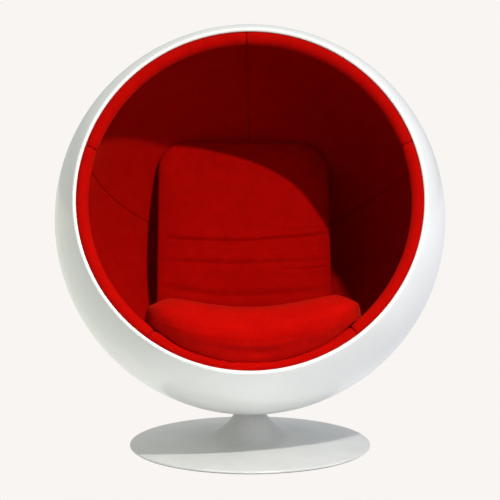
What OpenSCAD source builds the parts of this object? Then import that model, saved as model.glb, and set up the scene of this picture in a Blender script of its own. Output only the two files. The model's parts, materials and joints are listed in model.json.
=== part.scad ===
// Globe lounge chair: a padded fibreglass ball that turns on a trumpet-shaped base.
// Millimetres, +Z up, origin on the floor at the swivel axis, the mouth of the ball faces -Y.

/* [Ball shell] */
// Outside radius of the ball
ball_r = 550; // [535:1:570]
// Height of the ball's lowest point above the floor
stand_h = 100; // [92:1:130]
// Wall of the moulded shell
wall_t = 6; // [5:0.5:8]
// Upward tilt of the mouth's axis, in degrees
mouth_tilt = 17.9; // [14:0.1:20]
// Radius of the lip's centre line round the mouth
mouth_r = 470; // [462:1:478]
// Radius of the lip's rounded bead
lip_r = 5.5; // [4:0.1:6]

/* [Lining] */
// Thickness of the foam behind the lining
foam_t = 26; // [22:1:32]
// Thickness of the wool cover fabric
fabric_t = 2; // [1.5:0.1:3]
// Turn of the lining's seams to the left of the mouth's top, in degrees
seam_turn = 1.3; // [0:0.1:3]

/* [Padded ring] */
// Radius of the clear opening inside the padded ring
ring_clear_r = 436; // [430:1:440]
// Radius of the ring's rounded inner edge
ring_edge_r = 15; // [12:0.5:17]
// How far the ring's face lies behind the front of the lip
ring_setback = 2.4; // [1:0.1:4]
// Angle at the ball's centre from the lip back to the ring's rear seam
ring_back_angle = 5.4; // [5:0.1:7]
// Thickness of the batten that the ring is stapled to
batten_t = 8; // [6:0.5:10]
// Width of the batten along the shell
batten_w = 24; // [18:1:28]

/* [Seat cushion] */
// Half of the seat cushion's width
seat_half_w = 298; // [285:1:310]
// Half of the seat cushion's depth
seat_half_d = 308; // [295:1:320]
// How far the seat's front bulges out over the padded ring
seat_overhang = 16; // [5:1:25]
// Distance of the seat cushion's middle to the right of the mouth's middle
seat_shift = 8; // [-10:1:15]
// Depth of the seat's crest below the ball's centre
seat_crest_drop = 201; // [190:1:215]
// Rearward fall of the seat's top, in degrees
seat_fall = 14; // [10:0.5:17]
// Rise of the seat's top at its two ends
seat_end_rise = 60; // [40:1:70]
// How much higher the seat's right end lies than its left
seat_tilt = 12; // [0:1:20]
// Soft crown in the middle of the seat
seat_crown = 10; // [0:1:20]
// Depth of the seat's seam below its plain top
seat_seam_drop = 89; // [80:1:98]
// How much the seam rises towards the seat's ends
seat_seam_rise = 14; // [0:1:25]

/* [Back cushion] */
// Width of the back cushion at its top
back_top_w = 512; // [480:1:530]
// Width of the back cushion at its foot
back_foot_w = 528; // [500:1:550]
// Length of the back cushion along its lean
back_len = 604; // [590:1:620]
// Radius of the back cushion's corners
back_corner_r = 96; // [70:1:110]
// Half of the back cushion's thickness near its edges
back_half_t = 44; // [38:1:50]
// Soft crown of the back cushion's face
back_crown = 10; // [0:1:20]
// Extra fullness of the back cushion's rear
back_fullness = 30; // [10:1:40]
// Height of the back cushion's top seam above the ball's centre
back_top_rise = 197; // [185:1:205]
// Distance of the back cushion's top seam from the lining behind it
back_wall_gap = 30; // [20:1:36]
// How far the back cushion's foot stands out behind the seat
back_foot_out = 13; // [5:1:18]
// Distance of the back cushion's middle to the left of the mouth's middle
back_shift = 16; // [-10:1:20]

/* [Base] */
// Radius of the base
base_r = 345; // [325:1:365]
// Radius of the base's rounded edge
base_edge_r = 3; // [2.5:0.5:4]
// Radius of the neck where it meets the ball
neck_r = 41.6; // [40:0.1:46]
// Radius of the flare between the neck and the disc
flare_r = 121; // [112:1:130]
// Height of the flare's centre above the floor
flare_axis_h = 150; // [146:1:156]
// Wall of the base cover
cover_t = 4; // [3:0.5:5]
// Thickness of the rubber floor pad
floor_pad_t = 2; // [1.5:0.5:3]
// Thickness of the bottom plate
bottom_plate_t = 4; // [3:0.5:5]
// Thickness of the ballast ring
ballast_t = 9; // [6:1:10]
// Outside radius of the ballast ring
ballast_r = 190; // [165:1:205]

/* [Swivel] */
// Diameter of the spindle
spindle_d = 32; // [28:1:33]
// Running clearance of the spindle in its bushes, on the radius
bush_clear = 0.05; // [0.02:0.01:0.1]
// Outside diameter of the pedestal's tube
tube_d = 60; // [56:1:62]
// Wall of the pedestal's tube
tube_t = 4; // [3:0.5:5]
// Radius of the pedestal's flange
flange_r = 80; // [76:1:84]
// Thickness of the pedestal's flange
flange_t = 6; // [5:0.5:7]
// Thickness of the spindle's flange under the ball
spindle_flange_t = 8; // [6:0.5:9]
// Thickness of the rubber saddle pad at its middle
saddle_t = 3; // [2:0.5:4]
// Diameter of the thrust bearing's balls
race_ball_d = 5; // [4:0.5:6]
// Thickness of each bearing race
race_t = 2; // [1.5:0.5:2.5]
// Length of each bush
bush_len = 18; // [14:1:20]
// Radius of the steel plate inside the ball
top_plate_r = 85; // [70:1:90]
// Thickness of the steel plate inside the ball
top_plate_t = 5; // [4:0.5:5.5]
// Depth of the levelling pad at its middle
level_pad_t = 10; // [9:0.5:10.5]

/* [Hidden] */
GORES = ["upper_right", "side_right", "bottom", "side_left", "upper_left"];
$fn = 96;
fine_fn = 256;

// Clearances: soft pieces at rest on each other, drilled holes, threads, glued curved faces
rest_gap = 0.3;
hole_clear = 0.3;
thread_clear = 0.02;
glue = 0.1;
far = 2 * ball_r;
// How far a straight side starts inside the round edge that it runs on from
tangent_bite = 0.01;

// Radii about the ball's centre: inside of the shell, back of the lining, face of the lining
centre_h = stand_h + ball_r;
shell_in_r = ball_r - wall_t;
lining_back_r = shell_in_r - foam_t;
lining_r = lining_back_r - fabric_t;

// The lip's bead touches the outer sphere from inside; angles are from the mouth's axis
bead_track_r = ball_r - lip_r;
lip_angle = asin(mouth_r / bead_track_r);
lip_groove = 0.8;
ring_face_a = bead_track_r * cos(lip_angle) + lip_r - ring_setback;
ring_edge = [ring_clear_r + ring_edge_r, ring_face_a - ring_edge_r];
ring_seam_angle = lip_angle + ring_back_angle;
batten_from = lip_angle + 1;
batten_to = batten_from + batten_w / shell_in_r * 180 / PI;
gore_step = 360 / len(GORES);

// Stack of the base, from the floor up
plate_z = floor_pad_t;
plate_top = plate_z + bottom_plate_t;
edge_top = floor_pad_t + 2 * base_edge_r;
rim_x = base_r - base_edge_r;
plate_r = base_r - 16.7;
rim_land = 10;
floor_pad_r = base_r - 5;
tube_r = tube_d / 2;
tube_in_r = tube_r - tube_t;
flange_top = plate_top + flange_t;
ballast_in_r = flange_r + 10;
ballast_top = plate_top + ballast_t;
neck_top = stand_h;

// Stack of the swivel, from the ball down
saddle_z = stand_h - saddle_t;
spindle_flange_z = saddle_z - spindle_flange_t;
upper_race_z = spindle_flange_z - race_t;
lower_race_top = upper_race_z - race_ball_d;
lower_race_z = lower_race_top - race_t;
bush_collar_t = 2;
tube_top = lower_race_z - bush_collar_t;
spindle_r = spindle_d / 2;
race_in_r = spindle_r + hole_clear;
race_out_r = spindle_r + 9;
race_balls = 18;
race_track_r = (race_in_r + race_out_r) / 2;
race_ball_r = race_ball_d / 2 - 0.02;
cage_t = race_ball_d / 3;
bush_out_r = tube_in_r - thread_clear;
lower_bush_z = flange_top + 14;
washer_t = 1.5;
clip_t = 1.5;
clip_z = lower_bush_z - rest_gap - washer_t - clip_t;
groove_r = spindle_r - 1.6;
spindle_foot = clip_z - 4;

// Bolts that hold the ball on the spindle
shell_bolt_r = 4;
shell_bolt_count = 4;
shell_bolt_track = spindle_r + 8;
bolt_head_r = 6.5;
bolt_head_t = 5;
bolt_washer_r = 8;
bolt_washer_t = 1.6;
level_pad_r = top_plate_r + 12;
level_top = stand_h + wall_t + level_pad_t;
top_plate_top = level_top + top_plate_t;
head_z = top_plate_top + bolt_washer_t;
head_top = head_z + bolt_head_t;

// Bolts and screws of the base
pedestal_bolt_r = 4;
pedestal_bolt_count = 6;
pedestal_bolt_track = (flange_r + tube_r) / 2 + 4;
pedestal_head_r = 7.5;
ballast_screw_r = 3;
ballast_screw_count = 4;
ballast_screw_track = (ballast_in_r + ballast_r) / 2;
plate_screw_r = 2;
plate_screw_count = 8;
plate_screw_track = plate_r - rim_land / 2;
plate_screw_top = plate_top + 2.6;

// Trumpet: the neck's circle is centred outside it, and the disc's slope is tangent to it
flare_axis_r = neck_r + sqrt(pow(flare_r, 2) - pow(flare_axis_h - neck_top, 2));
flare_dist = norm([rim_x - flare_axis_r, flare_axis_h - edge_top]);
disc_slope = atan2(flare_axis_h - edge_top, rim_x - flare_axis_r) - asin(flare_r / flare_dist);
neck_in_r = flare_axis_r - sqrt(pow(flare_r + cover_t, 2) - pow(flare_axis_h - neck_top, 2));
spindle_flange_r = neck_in_r - 2;

// Seat cushion: its front stands over the lowest point of the padded ring
seat_front_y = -cos(mouth_tilt) * ring_edge.y - sin(mouth_tilt) * ring_clear_r - seat_overhang;
seat_y = seat_front_y + seat_half_d;
seat_rear_y = seat_y + seat_half_d;
seat_crest_y = seat_front_y + 48;
seat_power = 3;
swell_power = 4.5;
back_power = 3;
under_power = 4.5;

// Back cushion: it leans from behind the seat's rear edge to the lining
back_top_y = sqrt(pow(lining_r - back_wall_gap, 2) - pow(back_top_rise, 2));
back_lean = asin((back_top_y - seat_rear_y - back_foot_out) / back_len);
back_up = [0, sin(back_lean), cos(back_lean)];
back_face = [0, -cos(back_lean), sin(back_lean)];
back_mid = [-back_shift, back_top_y, centre_h + back_top_rise] - back_len / 2 * back_up;
back_edge_room = 4;

// Zips lie on the seams that don't show
zip_w = 7;
zip_t = 2.4;
zip_half_len = 150;
zip_steps = 4;

// Steps of the cushions' surfaces, from the middle out and round the outline
shares = [0.42, 0.68, 0.86, 0.955, 1];
seat_steps = 40;
corner_steps = 6;
side_steps = 4;

// Point of a turned profile at a radius and an angle from the mouth's axis
function polar(r, angle) = [r * sin(angle), r * cos(angle)];

// Places its children in the mouth's frame: +Z is the mouth's axis, +Y its upward direction
module in_mouth() {
  translate([0, 0, centre_h]) rotate([90 - mouth_tilt, 0, 0]) children();
}

// Turns a profile through one gore, counted clockwise from the top of the mouth
module turn_gore(i) {
  in_mouth() rotate([0, 0, 90 + seam_turn - (i + 1) * gore_step])
    rotate_extrude(angle = gore_step) children();
}

// Repeats its children round the swivel axis
module ring_of(count, track, start = 0) {
  for (i = [0:count - 1]) rotate([0, 0, start + i * 360 / count]) translate([track, 0, 0]) children();
}

// Flat ring or tube that stands on a height
module tube(out_r, in_r, z, h) {
  translate([0, 0, z]) rotate_extrude() translate([in_r, 0]) square([out_r - in_r, h]);
}

// Profile of a wall between two radii and two angles
module wall_area(out_r, in_r, from, to) {
  intersection() {
    difference() {
      circle(out_r);
      circle(in_r);
    }
    polygon(concat([[0, 0]], [for (i = [0:6]) polar(far, from + (to - from) * i / 6)]));
  }
}

// Profile of the lip's bead, grown by a gap
module bead_area(gap) {
  translate(polar(bead_track_r, lip_angle)) circle(lip_r + gap);
}

// Profile of the padded ring, drawn in by an inset: a round inner edge, a flat face, and a
// straight rear side that meets the round edge and ends at the ring's seam, or a lap past it
module ring_area(inset, lap = 0) {
  r = ring_edge_r - inset;
  seam = polar(lining_r + inset, ring_seam_angle);
  d = seam - ring_edge;
  turn = atan2(d.y, d.x) - acos((r - tangent_bite) / norm(d));
  side_start = ring_edge + (r - tangent_bite) * [cos(turn), sin(turn)];
  side_end = seam + lap * (seam - side_start) / norm(seam - side_start);
  difference() {
    intersection() {
      circle(shell_in_r - glue);
      union() {
        translate(ring_edge) circle(r);
        polygon([
          ring_edge, ring_edge + [0, r], [mouth_r + lip_r, ring_edge.y + r],
          polar(ball_r, atan2(side_end.x, side_end.y)), side_end, side_start
        ]);
      }
    }
    bead_area(lip_groove);
  }
}

// Profile of the batten, grown by a gap
module batten_area(gap) {
  grow = gap / shell_in_r * 180 / PI;
  wall_area(shell_in_r - glue + gap, shell_in_r - glue - batten_t - gap,
            batten_from - grow, batten_to + grow);
}

// Profile of the space below the trumpet's surface, drawn in by an inset
module trumpet_area(inset) {
  axis = [flare_axis_r, flare_axis_h];
  down = [sin(disc_slope), cos(disc_slope)];
  rim = [rim_x, edge_top] - inset * down;
  touch = axis - (flare_r + inset) * down;
  difference() {
    polygon([[0, plate_z], [rim.x, plate_z], rim, touch, [touch.x, neck_top], [0, neck_top]]);
    translate(axis) circle(flare_r + inset);
  }
}

// Signed power, for rounded outlines
function spow(v, e) = sign(v) * pow(abs(v), e);

// Fullness of a cushion at a share of the way from its middle (0) to its seam (1)
function swell(share, power) = pow(max(0, 1 - pow(share, power)), 1 / power);

// Height of the bowl that the seat lies in, and of the seat's plain top and seam over a place
function bowl_z(x, y) = centre_h - sqrt(pow(lining_r - rest_gap, 2) - x * x - y * y);
function seat_plain(x, y) = centre_h - seat_crest_drop - (y - seat_crest_y) * tan(seat_fall)
  + seat_end_rise * pow((x - seat_shift) / seat_half_w, 2)
  + seat_tilt / 2 * (x - seat_shift) / seat_half_w;
function seat_seam(x, y) = max(bowl_z(x, y) + fabric_t, seat_plain(x, y) - seat_seam_drop
  + seat_seam_rise * pow(abs(x - seat_shift) / seat_half_w, 3));

// Share of the way from the seat's middle to its outline
function seat_share(x, y) = pow(
  pow(abs(x - seat_shift) / seat_half_w, seat_power) + pow(abs(y - seat_y) / seat_half_d, seat_power),
  1 / seat_power);

// Top of the seat over a place, drawn in by an inset, at a share of the way to its outline
function seat_top(x, y, share, inset) = let (seam = seat_seam(x, y))
  seam + (seat_plain(x, y) + seat_crown * (1 - share * share) - inset - seam)
    * swell(share, swell_power);

// Point of the seat's top or underside: the underside lies in the bowl
function seat_point(angle, share, up, inset) = let (
    x = seat_shift + (seat_half_w - inset) * share * spow(cos(angle), 2 / seat_power),
    y = seat_y + (seat_half_d - inset) * share * spow(sin(angle), 2 / seat_power),
    seam = seat_seam(x, y)
  ) [x, y, up ? seat_top(x, y, share, inset)
              : seam - (seam - bowl_z(x, y) - inset) * swell(share, under_power)];
function seat_sheet(up, inset) = concat(
  [seat_point(0, 0, up, inset)],
  [for (s = shares) for (i = [0:seat_steps - 1]) seat_point(360 * i / seat_steps, s, up, inset)]);

// Outline of the back cushion in its own plane: a rectangle with round corners, wider at its foot
function back_outline(inset) = let (
    a = (back_top_w + back_foot_w) / 4 - inset,
    b = back_len / 2 - inset,
    r = back_corner_r - inset,
    corner = [[a - r, b - r], [r - a, b - r], [r - a, r - b], [a - r, r - b]],
    point = function (c, turn) corner[c % 4] + r * [cos(90 * c + turn), sin(90 * c + turn)]
  ) [for (c = [0:3]) each concat(
      [for (j = [0:corner_steps]) point(c, 90 * j / corner_steps)],
      [for (j = [1:side_steps - 1])
        point(c, 90) * (1 - j / side_steps) + point(c + 1, 0) * j / side_steps])];
function back_widen(s) = let (top = back_top_w, foot = back_foot_w)
  ((top + foot) / 2 + (top - foot) * s / back_len) / ((top + foot) / 2);

// Room behind a place of the back cushion, up to the lining
function back_room(p) = let (
    v = p - [0, 0, centre_h],
    q = v * -back_face
  ) sqrt(q * q - v * v + pow(lining_r - rest_gap, 2)) - q;

// Keeps a point of the back cushion above the seat
function on_seat(p, inset) = let (share = seat_share(p.x, p.y))
  share >= 1 ? p
  : [p.x, p.y, max(p.z, seat_top(p.x, p.y, share, 0) + rest_gap + inset)];

// Point of the back cushion's face or rear: the rear lies against the lining where it reaches it,
// and the seam keeps some room behind it
function back_point(at, share, front, inset) = let (
    u = at.x * share * back_widen(at.y * share),
    base = back_mid + [u, 0, 0] + at.y * share * back_up,
    push = max(0, back_edge_room - back_room(base)),
    full = back_half_t - inset,
    fore = full * swell(share, back_power) + back_crown * (1 - share * share),
    aft = full * swell(share, back_power) + back_fullness * (1 - pow(share, 4)),
    off = front ? fore : -min(aft, back_room(base) + push - inset)
  ) on_seat(base + (push + off) * back_face, inset);
function back_sheet(front, inset) = concat(
  [back_point([0, 0], 0, front, inset)],
  [for (s = shares) for (at = back_outline(inset)) back_point(at, s, front, inset)]);

// Index of a point of a sheet; an edge that is shared with another sheet starts elsewhere
function at_ring(start, edge, n, k, i) =
  k == len(shares) - 1 ? edge + i % n : start + 1 + k * n + i % n;
function face(a, b, c, flip) = flip ? [a, c, b] : [a, b, c];

// Triangles of a sheet: a fan round its middle, then rings of pairs
function sheet_faces(start, edge, n, flip) = concat(
  [for (i = [0:n - 1])
    face(start, at_ring(start, edge, n, 0, i + 1), at_ring(start, edge, n, 0, i), flip)],
  [for (k = [0:len(shares) - 2]) for (i = [0:n - 1]) let (
      a = at_ring(start, edge, n, k, i),
      b = at_ring(start, edge, n, k, i + 1),
      c = at_ring(start, edge, n, k + 1, i),
      d = at_ring(start, edge, n, k + 1, i + 1)
    ) each [face(a, b, d, flip), face(a, d, c, flip)]]);

// Closed filling between an upper and a lower sheet that end on one seam
module filling(upper, lower) {
  size = len(upper);
  n = (size - 1) / len(shares);
  polyhedron(
    concat(upper, [for (i = [0:size - 1 - n]) lower[i]]),
    concat(sheet_faces(0, size - n, n, false), sheet_faces(size, size - n, n, true)));
}

// Panel of cover between an outer and an inner sheet, closed by a strip along the seam
module panel(outer, inner, flip) {
  size = len(outer);
  n = (size - 1) / len(shares);
  strip = [for (i = [0:n - 1]) let (
      a = size - n + i, b = size - n + (i + 1) % n, c = a + size, d = b + size
    ) each [face(c, a, b, flip), face(c, b, d, flip)]];
  polyhedron(
    concat(outer, inner),
    concat(sheet_faces(0, size - n, n, flip), sheet_faces(size, 2 * size - n, n, !flip), strip));
}

// Tape of four-cornered sections along a seam
module tape(sections) {
  last = len(sections) - 1;
  polyhedron(
    [for (s = sections) each s],
    concat(
      [[0, 1, 2], [0, 2, 3]],
      [let (o = 4 * last) each [[o, o + 2, o + 1], [o, o + 3, o + 2]]],
      [for (k = [0:last - 1]) for (j = [0:3]) let (
          a = 4 * k + j, b = 4 * k + (j + 1) % 4
        ) each [[a, a + 4, b], [b, a + 4, b + 4]]]));
}

// Base

module floor_pad() color("dimgray") cylinder(r = floor_pad_r, h = floor_pad_t);

module bottom_plate() color("silver") difference() {
  tube(plate_r, tube_in_r, plate_z, bottom_plate_t);
  ring_of(pedestal_bolt_count, pedestal_bolt_track)
    cylinder(r = pedestal_bolt_r + thread_clear, h = flange_top);
  ring_of(ballast_screw_count, ballast_screw_track, 45)
    cylinder(r = ballast_screw_r + thread_clear, h = flange_top);
  ring_of(plate_screw_count, plate_screw_track) {
    cylinder(r = plate_screw_r + thread_clear, h = flange_top);
    translate([0, 0, plate_z])
      cylinder(r1 = 2 * plate_screw_r + thread_clear, r2 = plate_screw_r + thread_clear, h = 2);
  }
}

module plate_screws() color("gray") ring_of(plate_screw_count, plate_screw_track)
  translate([0, 0, plate_z]) union() {
    cylinder(r1 = 2 * plate_screw_r, r2 = plate_screw_r, h = 2);
    cylinder(r = plate_screw_r, h = plate_screw_top - plate_z);
  }

module ballast_ring() color("darkslategray") difference() {
  tube(ballast_r, ballast_in_r, plate_top, ballast_t);
  ring_of(ballast_screw_count, ballast_screw_track, 45) translate([0, 0, plate_top - 1])
    cylinder(r = ballast_screw_r + hole_clear, h = ballast_t + 2);
}

module ballast_screws() color("gray") ring_of(ballast_screw_count, ballast_screw_track, 45) union() {
  translate([0, 0, plate_z + 0.5]) cylinder(r = ballast_screw_r, h = ballast_top - plate_z);
  translate([0, 0, ballast_top]) cylinder(r = 2 * ballast_screw_r, h = 3.5);
}

module pedestal() color("slategray") difference() {
  union() {
    tube(flange_r, tube_in_r, plate_top, flange_t);
    tube(tube_r, tube_in_r, plate_top, tube_top - plate_top);
    translate([0, 0, flange_top]) rotate_extrude()
      polygon([[tube_r - 1, 0], [tube_r + 4, 0], [tube_r, 4], [tube_r - 1, 4]]);
  }
  ring_of(pedestal_bolt_count, pedestal_bolt_track) translate([0, 0, plate_top - 1])
    cylinder(r = pedestal_bolt_r + hole_clear, h = flange_t + 2);
}

module pedestal_bolts() color("gray") ring_of(pedestal_bolt_count, pedestal_bolt_track) union() {
  translate([0, 0, plate_z + 0.5]) cylinder(r = pedestal_bolt_r, h = flange_top - plate_z);
  translate([0, 0, flange_top]) cylinder(r = pedestal_head_r, h = 5.5, $fn = 6);
}

// Trumpet cover: an even wall, solid at the rim, where a rebate seats it on the bottom plate
module base_cover() color("white") difference() {
  rotate_extrude() difference() {
    union() {
      trumpet_area(0);
      translate([rim_x, plate_z + base_edge_r]) circle(base_edge_r);
    }
    intersection() {
      trumpet_area(cover_t);
      square([plate_r - rim_land, neck_top]);
    }
    translate([0, plate_z - 1]) square([plate_r + hole_clear, bottom_plate_t + 1]);
    translate([0, neck_top - 1]) square([neck_in_r, 2]);
  }
  ring_of(plate_screw_count, plate_screw_track)
    cylinder(r = plate_screw_r + thread_clear, h = plate_screw_top + 0.2);
}

// Swivel

module lower_bush() color("ivory") tube(bush_out_r, spindle_r + bush_clear, lower_bush_z, bush_len);

module upper_bush() color("ivory") union() {
  tube(bush_out_r, spindle_r + bush_clear, tube_top - bush_len, bush_len + bush_collar_t);
  tube(tube_r - 1, spindle_r + bush_clear, tube_top, bush_collar_t);
}

module lower_race() color("silver") tube(race_out_r, race_in_r, lower_race_z, race_t);

module bearing_cage() color("goldenrod") difference() {
  tube(race_out_r - 0.6, race_in_r + 0.6, lower_race_top + (race_ball_d - cage_t) / 2, cage_t);
  ring_of(race_balls, race_track_r) translate([0, 0, lower_race_top])
    cylinder(r = race_ball_r + 0.1, h = race_ball_d);
}

module bearing_balls() color("lightgray") ring_of(race_balls, race_track_r)
  translate([0, 0, lower_race_top + race_ball_r]) sphere(race_ball_r);

module upper_race() color("silver") tube(race_out_r, race_in_r, upper_race_z, race_t);

module spindle() color("lightslategray") difference() {
  union() {
    translate([0, 0, spindle_foot]) cylinder(r1 = spindle_r - 2, r2 = spindle_r, h = 2);
    translate([0, 0, spindle_foot + 2]) cylinder(r = spindle_r, h = saddle_z - spindle_foot - 2);
    translate([0, 0, spindle_flange_z]) cylinder(r = spindle_flange_r, h = spindle_flange_t);
  }
  tube(spindle_r + 1, groove_r, clip_z - glue, clip_t + 2 * glue);
  ring_of(shell_bolt_count, shell_bolt_track, 45) translate([0, 0, spindle_flange_z + 1])
    cylinder(r = shell_bolt_r + thread_clear, h = spindle_flange_t);
}

module thrust_washer() color("ivory") tube(bush_out_r - 2, race_in_r, clip_z + clip_t, washer_t);

// Split spring ring in the spindle's groove
module retaining_ring() color("dimgray") difference() {
  tube(spindle_r + 4, groove_r + 0.05, clip_z, clip_t);
  translate([0, -3, clip_z - 1]) cube([spindle_r + 6, 6, clip_t + 2]);
}

// Hole pattern of the ball's bolts, through what lies between the flange and the top plate
module ball_bolt_holes() {
  ring_of(shell_bolt_count, shell_bolt_track, 45) translate([0, 0, saddle_z - 1])
    cylinder(r = shell_bolt_r + hole_clear, h = top_plate_top - saddle_z + 2);
}

// Rubber pad, flat below and hollowed above to fit the ball
module saddle_pad() color("dimgray") difference() {
  rotate_extrude() difference() {
    translate([0, saddle_z]) square([spindle_flange_r, 2 * saddle_t]);
    translate([0, centre_h]) circle(ball_r + thread_clear, $fn = fine_fn);
  }
  ball_bolt_holes();
}

// Ball

module shell() color("white") difference() {
  in_mouth() rotate_extrude() union() {
    wall_area(ball_r, shell_in_r, lip_angle, 180);
    bead_area(0);
  }
  ball_bolt_holes();
}

// Laminated pad that gives the plate a level seat in the bowl of the shell
module level_pad() color("beige") difference() {
  rotate_extrude() intersection() {
    translate([0, centre_h]) circle(shell_in_r - glue, $fn = fine_fn);
    translate([0, stand_h]) square([level_pad_r, level_top - stand_h]);
  }
  ball_bolt_holes();
}

module top_plate() color("silver") difference() {
  translate([0, 0, level_top]) cylinder(r = top_plate_r, h = top_plate_t);
  ball_bolt_holes();
}

module shell_bolts() color("gray") ring_of(shell_bolt_count, shell_bolt_track, 45) union() {
  translate([0, 0, spindle_flange_z + 1.5]) cylinder(r = shell_bolt_r, h = head_z - spindle_flange_z - 1);
  translate([0, 0, head_z]) cylinder(r = bolt_head_r, h = bolt_head_t);
}

module shell_washers() color("lightgray") ring_of(shell_bolt_count, shell_bolt_track, 45)
  tube(bolt_washer_r, shell_bolt_r + hole_clear, top_plate_top, bolt_washer_t);

// Upholstery of the mouth: batten, padding and five lengths of cover

module ring_batten() color("burlywood") in_mouth() rotate_extrude() batten_area(0);

module ring_foam() color("khaki") in_mouth() rotate_extrude() difference() {
  ring_area(fabric_t + glue);
  batten_area(glue);
}

module ring_cover(i) color("firebrick") turn_gore(i) difference() {
  ring_area(0);
  ring_area(fabric_t, fabric_t);
}

// Upholstery of the wall: foam gores with a recess over the mounting plate, then the lining

module foam_gore(i) color("khaki") difference() {
  turn_gore(i) wall_area(shell_in_r - glue, lining_back_r, ring_seam_angle, 180);
  if (GORES[i] == "bottom") {
    translate([0, 0, stand_h]) cylinder(r = level_pad_r + hole_clear, h = level_top - stand_h);
    translate([0, 0, stand_h]) cylinder(r = top_plate_r + hole_clear, h = top_plate_top - stand_h);
    ring_of(shell_bolt_count, shell_bolt_track, 45) translate([0, 0, stand_h])
      cylinder(r = bolt_washer_r + hole_clear, h = head_top + glue - stand_h);
  }
}

module lining_gore(i) color("red") turn_gore(i)
  wall_area(lining_back_r - glue, lining_r, ring_seam_angle, 180);

// Seat cushion: filling, upper and under panel of the cover, and the zip at the rear

module seat_core() color("khaki") filling(seat_sheet(true, fabric_t), seat_sheet(false, fabric_t));

module seat_top_cover() color("red") panel(seat_sheet(true, 0), seat_sheet(true, fabric_t), false);

module seat_under_cover() color("crimson")
  panel(seat_sheet(false, 0), seat_sheet(false, fabric_t), true);

module seat_zip() color("darkred") tape([
  for (i = [-zip_steps:zip_steps]) let (
      p = seat_point(90 + 360 * i / seat_steps, 1, true, -glue),
      q = seat_point(90 + 360 * i / seat_steps, 1, true, -glue - zip_t),
      low = [0, 0, -zip_w / 2],
      high = [0, 0, zip_w / 2]
    ) [p + low, p + high, q + high, q + low]
]);

// Back cushion: filling, front and rear panel of the cover, and the zip at the foot

module back_core() color("khaki") filling(back_sheet(true, fabric_t), back_sheet(false, fabric_t));

module back_front_cover() color("red")
  panel(back_sheet(true, 0), back_sheet(true, fabric_t), false);

module back_rear_cover() color("crimson")
  panel(back_sheet(false, 0), back_sheet(false, fabric_t), true);

module back_zip() color("darkred")
  translate(back_mid - (back_len / 2 + zip_t + glue) * back_up) rotate([-back_lean, 0, 0])
    translate([-zip_half_len, -zip_w / 2, 0]) cube([2 * zip_half_len, zip_w, zip_t]);

floor_pad();
bottom_plate();
plate_screws();
ballast_ring();
ballast_screws();
pedestal();
pedestal_bolts();
base_cover();
lower_bush();
upper_bush();
lower_race();
bearing_cage();
bearing_balls();
upper_race();
spindle();
thrust_washer();
retaining_ring();
saddle_pad();
shell();
level_pad();
top_plate();
shell_bolts();
shell_washers();
ring_batten();
ring_foam();
for (i = [0:len(GORES) - 1]) {
  ring_cover(i);
  foam_gore(i);
  lining_gore(i);
}
seat_core();
seat_top_cover();
seat_under_cover();
seat_zip();
back_core();
back_front_cover();
back_rear_cover();
back_zip();
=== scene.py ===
"""Looks of a globe lounge chair: a glossy fibreglass ball, cushioned in red wool, on a trumpet base.

Lengths are in metres, in the CAD model's frame: +Z up, the floor at 0, the mouth of the ball faces -Y.
"""

import json
import math

import bmesh
import bpy
import numpy as np
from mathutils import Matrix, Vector


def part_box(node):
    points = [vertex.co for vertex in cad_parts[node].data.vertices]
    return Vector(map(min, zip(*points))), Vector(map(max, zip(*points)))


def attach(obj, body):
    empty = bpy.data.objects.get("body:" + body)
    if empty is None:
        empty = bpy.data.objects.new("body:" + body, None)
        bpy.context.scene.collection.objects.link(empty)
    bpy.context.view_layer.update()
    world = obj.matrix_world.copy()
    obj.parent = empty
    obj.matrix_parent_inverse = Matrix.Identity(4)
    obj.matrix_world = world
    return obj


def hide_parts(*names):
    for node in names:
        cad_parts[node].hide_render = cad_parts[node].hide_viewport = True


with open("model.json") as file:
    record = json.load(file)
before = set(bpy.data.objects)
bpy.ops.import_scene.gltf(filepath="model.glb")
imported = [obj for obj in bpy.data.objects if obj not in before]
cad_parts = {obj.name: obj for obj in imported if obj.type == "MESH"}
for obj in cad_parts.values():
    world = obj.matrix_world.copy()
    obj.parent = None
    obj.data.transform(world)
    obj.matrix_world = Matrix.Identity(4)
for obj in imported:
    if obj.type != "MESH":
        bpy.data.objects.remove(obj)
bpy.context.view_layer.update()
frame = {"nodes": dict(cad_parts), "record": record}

MM = 0.001
TAU = 2 * math.pi

# The ball: its size is read from the frame, and the layers inside it are as in the CAD model
shell_low, shell_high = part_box("shell")
BALL_R = (shell_high.x - shell_low.x) / 2
CENTRE = np.array([0, 0, shell_low.z + BALL_R])
WALL = 6 * MM
FOAM_T = 26 * MM
FABRIC = 2 * MM
SHELL_IN_R = BALL_R - WALL
LINING_BACK_R = SHELL_IN_R - FOAM_T
LINING_R = LINING_BACK_R - FABRIC
FOAM_BACK_R = SHELL_IN_R - 0.4 * MM

# The mouth and its lip, as in the CAD model
MOUTH_TILT = math.radians(17.9)
MOUTH_R = 470 * MM
LIP_R = 5.5 * MM
LIP_TRACK_R = BALL_R - LIP_R
LIP_ANGLE = math.asin(MOUTH_R / LIP_TRACK_R)
LIP_AHEAD = LIP_TRACK_R * math.cos(LIP_ANGLE)
BEAD_ROUND = math.pi * 1.47

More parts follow.
